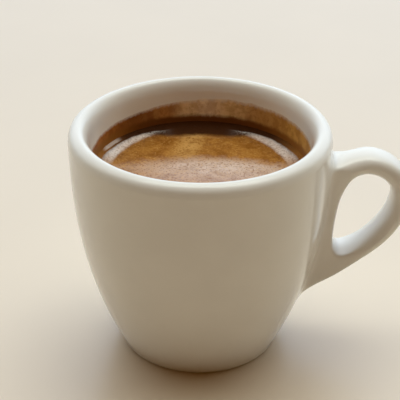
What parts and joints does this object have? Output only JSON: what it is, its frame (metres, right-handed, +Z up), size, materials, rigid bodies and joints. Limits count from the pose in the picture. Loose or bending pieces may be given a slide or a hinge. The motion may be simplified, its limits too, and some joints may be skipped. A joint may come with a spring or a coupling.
{
  "type": "espresso shot in a cup",
  "caption": "Espresso shot with a golden crema in a thick white porcelain cup with a teardrop ear handle, standing on its flat base.",
  "frame": {"origin": "middle of the cup's flat base, on the surface it stands on, where the cup's axis meets it", "axes": "+Z up along the cup's axis, +X from the axis through the middle of the handle, +Y to the left when the handle points away"},
  "size_m": [0.084, 0.064, 0.0591],
  "materials": {
    "porcelain": "clear gloss glaze on white porcelain",
    "espresso": "liquid, very dark brown and glossy",
    "crema": "fine golden brown foam with a wet sheen"
  },
  "bodies": {
    "root": {"cup": "porcelain", "espresso": "espresso", "crema": "crema"}
  },
  "joints": []
}
